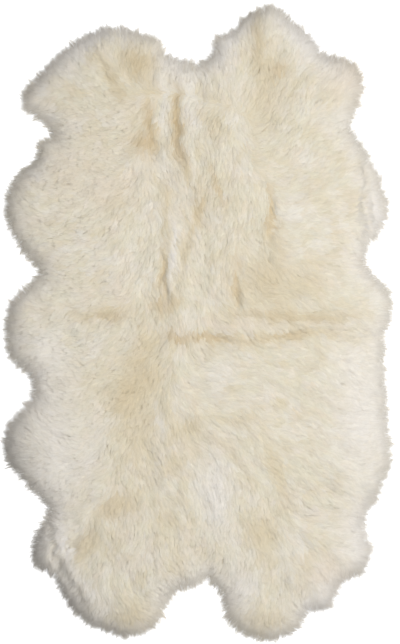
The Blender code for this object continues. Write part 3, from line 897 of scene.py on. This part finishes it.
def plate(name, outline, field, under_z, upper):
    """A closed mesh between a flat underside and the heights that upper gives."""
    points = [Vector(p) for p in np.concatenate([outline, field])]
    border = [(i, (i + 1) % len(outline)) for i in range(len(outline))]
    flat, _, faces, *_ = delaunay_2d_cdt(points, border, [], 1, 1e-6)
    heights = upper(np.array([p[:] for p in flat]))
    made = bmesh.new()
    ground = [made.verts.new((p.x, p.y, under_z)) for p in flat]
    top = [made.verts.new((p.x, p.y, z)) for p, z in zip(flat, heights)]
    for face in faces:
        made.faces.new([top[i] for i in face])
        made.faces.new([ground[i] for i in reversed(face)])
    open_edges = [e for e in made.edges if e.is_boundary]
    bmesh.ops.bridge_loops(made, edges=open_edges)
    mesh = finished(name, made)
    mesh.set_sharp_from_angle(angle=math.radians(SHARP_EDGE))
    return mesh


def under_wool(name, plan, rng):
    """The dense fleece under the locks, which nothing shows through."""
    outline = inset_outline(name, plan, UNDER_INSET)
    dense = []
    for a, b in zip(outline, np.roll(outline, -1, axis=0)):
        dense += straight(a, b, UNDER_STEP)
    outline = np.array(dense)
    field = inner_field(outline, UNDER_STEP, rng, UNDER_JITTER, 0.5 * UNDER_STEP)

    def upper(points):
        tufts = UNDER_TUFT_RISE * smooth_noise(points, UNDER_TUFT_WIDTH, SEED + 5)
        height = plan.read(plan.top, points) - UNDER_DEPTH + tufts
        return np.maximum(height, UNDER_LOWEST)

    under_z = HIDE_LIFT + HIDE_THICKNESS + UNDER_LIFT
    mesh = plate("under_wool_" + name, outline, field, under_z, upper)
    flat = np.array([v.co[:] for v in mesh.vertices])
    paint(mesh, wool_tint(flat[:, :2], plan) * np.array(ROOT_SHADE))
    return mesh


def hide(name, plan, rng):
    """The tanned skin, cut a little inside the wool, with its flat size and area."""
    outline = inset_outline(name, plan, HIDE_INSET)
    field = inner_field(outline, HIDE_STEP, rng, HIDE_JITTER, 0.4 * HIDE_STEP)
    top = HIDE_LIFT + HIDE_THICKNESS
    mesh = plate("hide_" + name, outline, field, HIDE_LIFT, lambda p: np.full(len(p), top))
    ahead = np.roll(outline, -1, axis=0)
    area = 0.5 * abs((outline[:, 0] * ahead[:, 1] - ahead[:, 0] * outline[:, 1]).sum())
    width, length = outline.max(0) - outline.min(0)
    return mesh, (float(width), float(length)), float(area)


def seam_line(name, plan):
    """The run of a pelt's outline where it is sewn to its neighbours."""
    sewn = ~plan.rim_flags[name]
    first = np.flatnonzero(sewn & ~np.roll(sewn, 1))[0]
    return np.roll(plan.outlines[name], -first, axis=0)[: sewn.sum() + 1]


def sweep(made, path, radius, sides=4):
    """A closed thread along a path that lies in one upright plane."""
    path = np.array(path)
    aside = unit(np.cross(path[-1] - path[0], (0, 0, 1)))
    rings = []
    for point, forward in zip(path, unit(np.gradient(path, axis=0))):
        above = np.cross(aside, forward)
        turns = 2 * math.pi * np.arange(sides) / sides
        ring = [point + radius * (math.cos(a) * aside + math.sin(a) * above) for a in turns]
        rings.append([made.verts.new(corner) for corner in ring])
    for ring, next_ring in zip(rings, rings[1:]):
        for k in range(sides):
            after = (k + 1) % sides
            made.faces.new([ring[k], ring[after], next_ring[after], next_ring[k]])
    made.faces.new(rings[0][::-1])
    made.faces.new(rings[-1])


def stitches(plan):
    """The furrier's overcast stitches that hold the pelts together from below."""
    made = bmesh.new()
    low, high = THREAD_RADIUS + THREAD_CLEARANCE, HIDE_LIFT + HIDE_THICKNESS / 2
    for name in SEWN_FROM:
        line = seam_line(name, plan)
        lengths = np.append(0, np.linalg.norm(np.diff(line, axis=0), axis=1).cumsum())
        for spot in np.arange(HIDE_INSET, lengths[-1] - HIDE_INSET, STITCH_PITCH):
            here, ahead = (
                np.array([np.interp(s, lengths, line[:, axis]) for axis in (0, 1)])
                for s in (spot, spot + STITCH_PITCH / 4)
            )
            way = unit(ahead - here)
            arm = STITCH_REACH * np.array([way[1], -way[0]]) + STITCH_SLANT * way
            flat_arm = STITCH_FLAT * arm
            ends = [here - arm, here - flat_arm, here + flat_arm, here + arm]
            path = [(*end, z) for end, z in zip(ends, (high, low, low, high))]
            sweep(made, path, THREAD_RADIUS)
    return finished("stitches", made)


# ---- materials
def new_material(name):
    """A new material, with its nodes, its links and its shader."""
    material = bpy.data.materials.new(name)
    material.use_nodes = True
    nodes = material.node_tree.nodes
    return material, nodes, material.node_tree.links, nodes["Principled BSDF"]


def set_inputs(node, values):
    """Sets numbers and colours on a node's own sockets."""
    for socket, value in values.items():
        node.inputs[socket].default_value = value


def noise(nodes, links, place, scale, detail=3.0):
    """A noise texture at a place given by a vector socket; returns its factor."""
    texture = nodes.new("ShaderNodeTexNoise")
    set_inputs(texture, {"Scale": scale, "Detail": detail})
    links.new(place, texture.inputs["Vector"])
    return texture.outputs["Fac"]


def vertex_tint(nodes):
    """The colour that paint() kept for the wool."""
    tint = nodes.new("ShaderNodeAttribute")
    tint.attribute_name = "wool_tint"
    return tint.outputs["Color"]


def stretched(nodes, links, place, scale):
    """The place scaled by a different amount along each axis."""
    mapping = nodes.new("ShaderNodeMapping")
    set_inputs(mapping, {"Scale": scale})
    links.new(place, mapping.inputs["Vector"])
    return mapping.outputs["Vector"]


def crimped(nodes, links, fibre_map):
    """The fibre map with its lines waved sideways, as wool crimps."""
    axes = nodes.new("ShaderNodeSeparateXYZ")
    links.new(fibre_map, axes.inputs["Vector"])
    per_metre = 2 * math.pi / CRIMP_LENGTH
    phase = calculated(nodes, links, "MULTIPLY", axes.outputs["Y"], per_metre)
    wave = calculated(nodes, links, "SINE", phase)
    aside = calculated(nodes, links, "MULTIPLY_ADD", wave, CRIMP_WIDTH, axes.outputs["X"])
    place = nodes.new("ShaderNodeCombineXYZ")
    links.new(aside, place.inputs["X"])
    links.new(axes.outputs["Y"], place.inputs["Y"])
    return place.outputs["Vector"]


def calculated(nodes, links, operation, *values):
    """The result of a Math node on sockets and numbers."""
    node = nodes.new("ShaderNodeMath")
    node.operation = operation
    for socket, value in zip(node.inputs, values):
        if isinstance(value, bpy.types.NodeSocket):
            links.new(value, socket)
        else:
            socket.default_value = value
    return node.outputs["Value"]


def varied(nodes, links, colour, amount, low, high):
    """The colour made darker or brighter, between low and high, by a noise."""
    level = nodes.new("ShaderNodeMapRange")
    set_inputs(level, {"From Min": 0.3, "From Max": 0.7, "To Min": low, "To Max": high})
    links.new(amount, level.inputs["Value"])
    product = nodes.new("ShaderNodeVectorMath")
    product.operation = "SCALE"
    links.new(colour, product.inputs[0])
    links.new(level.outputs["Result"], product.inputs["Scale"])
    return product.outputs["Vector"]


def ramped(nodes, links, amount, low_colour, high_colour):
    """A colour that goes from one to another as a noise goes from low to high."""
    ramp = nodes.new("ShaderNodeValToRGB")
    low, high = ramp.color_ramp.elements
    low.position, high.position = 0.35, 0.65
    low.color, high.color = (*low_colour, 1), (*high_colour, 1)
    links.new(amount, ramp.inputs["Fac"])
    return ramp.outputs["Color"]


def bumped(nodes, links, shader, height, distance, strength):
    """Gives the shader fine relief from a height between 0 and 1."""
    bump = nodes.new("ShaderNodeBump")
    set_inputs(bump, {"Distance": distance, "Strength": strength})
    links.new(height, bump.inputs["Height"])
    links.new(bump.outputs["Normal"], shader.inputs["Normal"])


def wool_material():
    """Ivory wool: soft, faintly glossy, and letting some light through."""
    material, nodes, links, shader = new_material("ivory_wool")
    set_inputs(shader, {"Roughness": 0.62, "Specular IOR Level": 0.25})
    set_inputs(shader, {"Sheen Weight": 0.15, "Sheen Roughness": 0.5})
    fibres = nodes.new("ShaderNodeUVMap")
    fibres.uv_map = "fibres"
    wavy = crimped(nodes, links, fibres.outputs["UV"])
    fine = stretched(nodes, links, wavy, (FIBRES_PER_METRE, FIBRE_CHANGES, 1))
    fibre = noise(nodes, links, fine, scale=1.0)
    colour = varied(nodes, links, vertex_tint(nodes), fibre, low=0.90, high=1.07)
    links.new(colour, shader.inputs["Base Color"])
    bumped(nodes, links, shader, fibre, distance=0.0004, strength=0.6)
    through = nodes.new("ShaderNodeBsdfTranslucent")
    links.new(colour, through.inputs["Color"])
    mix = nodes.new("ShaderNodeMixShader")
    set_inputs(mix, {"Fac": 0.35})
    links.new(shader.outputs[0], mix.inputs[1])
    links.new(through.outputs[0], mix.inputs[2])
    links.new(mix.outputs[0], nodes["Material Output"].inputs["Surface"])
    return material


def under_wool_material():
    """The same wool seen as a dense curly mass."""
    material, nodes, links, shader = new_material("under_wool")
    set_inputs(shader, {"Roughness": 0.95, "Specular IOR Level": 0.15})
    place = nodes.new("ShaderNodeTexCoord").outputs["Object"]
    curls = noise(nodes, links, place, scale=380.0)
    colour = varied(nodes, links, vertex_tint(nodes), curls, low=0.90, high=1.03)
    links.new(colour, shader.inputs["Base Color"])
    bumped(nodes, links, shader, curls, distance=0.0015, strength=0.6)
    return material


def suede_material():
    """Tanned skin, napped on its flesh side, in two mingled browns."""
    material, nodes, links, shader = new_material("suede")
    set_inputs(shader, {"Roughness": 0.92, "Specular IOR Level": 0.15})
    set_inputs(shader, {"Sheen Weight": 0.25})
    place = nodes.new("ShaderNodeTexCoord").outputs["Object"]
    patches = noise(nodes, links, place, scale=9.0)
    mingled = ramped(nodes, links, patches, SUEDE_DARK, SUEDE)
    nap = noise(nodes, links, place, scale=700.0, detail=5.0)
    colour = varied(nodes, links, mingled, nap, low=0.88, high=1.06)
    links.new(colour, shader.inputs["Base Color"])
    bumped(nodes, links, shader, nap, distance=0.0004, strength=0.7)
    return material


def thread_material():
    """Waxed cotton thread, mottled and a little rough."""
    material, nodes, links, shader = new_material("thread")
    set_inputs(shader, {"Roughness": 0.6})
    place = nodes.new("ShaderNodeTexCoord").outputs["Object"]
    twist = noise(nodes, links, place, scale=1800.0)
    colour = ramped(nodes, links, twist, THREAD_DARK, THREAD)
    links.new(colour, shader.inputs["Base Color"])
    bumped(nodes, links, shader, twist, distance=0.0002, strength=0.6)
    return material


def add(name, mesh, material):
    """A piece of the rug, which stays with the rug's only body."""
    piece = bpy.data.objects.new(name, mesh)
    bpy.context.scene.collection.objects.link(piece)
    mesh.materials.append(material)
    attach(piece, "root")
    return piece


# ---- studio
def add_floor():
    """A plain white floor, which gives the rug no diffuse light."""
    bpy.ops.mesh.primitive_plane_add(size=FLOOR_SIZE, location=(0, 0, 0))
    floor = bpy.context.object
    floor.name = "floor"
    material, _, _, shader = new_material("floor")
    set_inputs(shader, {"Base Color": (0.95, 0.95, 0.95, 1), "Roughness": 0.9})
    set_inputs(shader, {"Specular IOR Level": 0.1})
    set_inputs(shader, {"Emission Color": (1, 1, 1, 1), "Emission Strength": FLOOR_GLOW})
    floor.data.materials.append(material)
    floor.visible_diffuse = False
    floor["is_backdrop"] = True


def add_lights():
    """A dim even surround and the softboxes."""
    world = bpy.data.worlds.new("studio")
    bpy.context.scene.world = world
    world.use_nodes = True
    background = world.node_tree.nodes["Background"]
    set_inputs(background, {"Color": (1, 1, 1, 1), "Strength": WORLD_LIGHT})
    for box in SOFTBOXES:
        lamp = bpy.data.lights.new(box.name, "AREA")
        lamp.energy = box.power
        lamp.size = box.width
        light = bpy.data.objects.new(box.name, lamp)
        light.location = box.place
        away = light.location - Vector(box.aim)
        light.rotation_euler = away.to_track_quat("Z", "Y").to_euler()
        light.visible_camera = False
        bpy.context.scene.collection.objects.link(light)


def add_camera():
    """The camera, which looks straight down."""
    lens = bpy.data.cameras.new("camera")
    lens.sensor_width = SENSOR_SIZE
    lens.lens = SENSOR_SIZE * VIEW_DISTANCE / VIEW_LENGTH
    camera = bpy.data.objects.new("camera", lens)
    camera.location = CAMERA_AT
    bpy.context.scene.collection.objects.link(camera)
    bpy.context.scene.camera = camera


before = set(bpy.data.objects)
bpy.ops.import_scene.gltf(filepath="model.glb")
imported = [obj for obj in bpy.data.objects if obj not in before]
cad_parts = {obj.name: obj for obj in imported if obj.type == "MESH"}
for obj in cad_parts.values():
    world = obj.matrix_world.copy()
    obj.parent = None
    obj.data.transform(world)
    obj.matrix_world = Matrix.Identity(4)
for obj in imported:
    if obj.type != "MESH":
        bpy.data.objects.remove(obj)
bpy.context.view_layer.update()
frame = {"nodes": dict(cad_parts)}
plan = Plan(frame["nodes"])
wool = wool_material()
fleece = under_wool_material()
suede = suede_material()
rng = np.random.default_rng(SEED)
middles = lock_paths(plan, rng)
owner = owners(middles[:, 0], plan)
for index, name in enumerate(sorted(frame["nodes"])):
    lock_mesh = strand_mesh("locks_" + name, middles[owner == index], plan, rng)
    locks = add("locks_" + name, lock_mesh, wool)
    under = add("under_wool_" + name, under_wool(name, plan, rng), fleece)
    hide_mesh, flat_size, flat_area = hide(name, plan, rng)
    skin = add("hide_" + name, hide_mesh, suede)
    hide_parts(name)
sewing = add("stitches", stitches(plan), thread_material())
add_floor()
add_lights()
add_camera()
bpy.context.scene.view_settings.view_transform = "Standard"
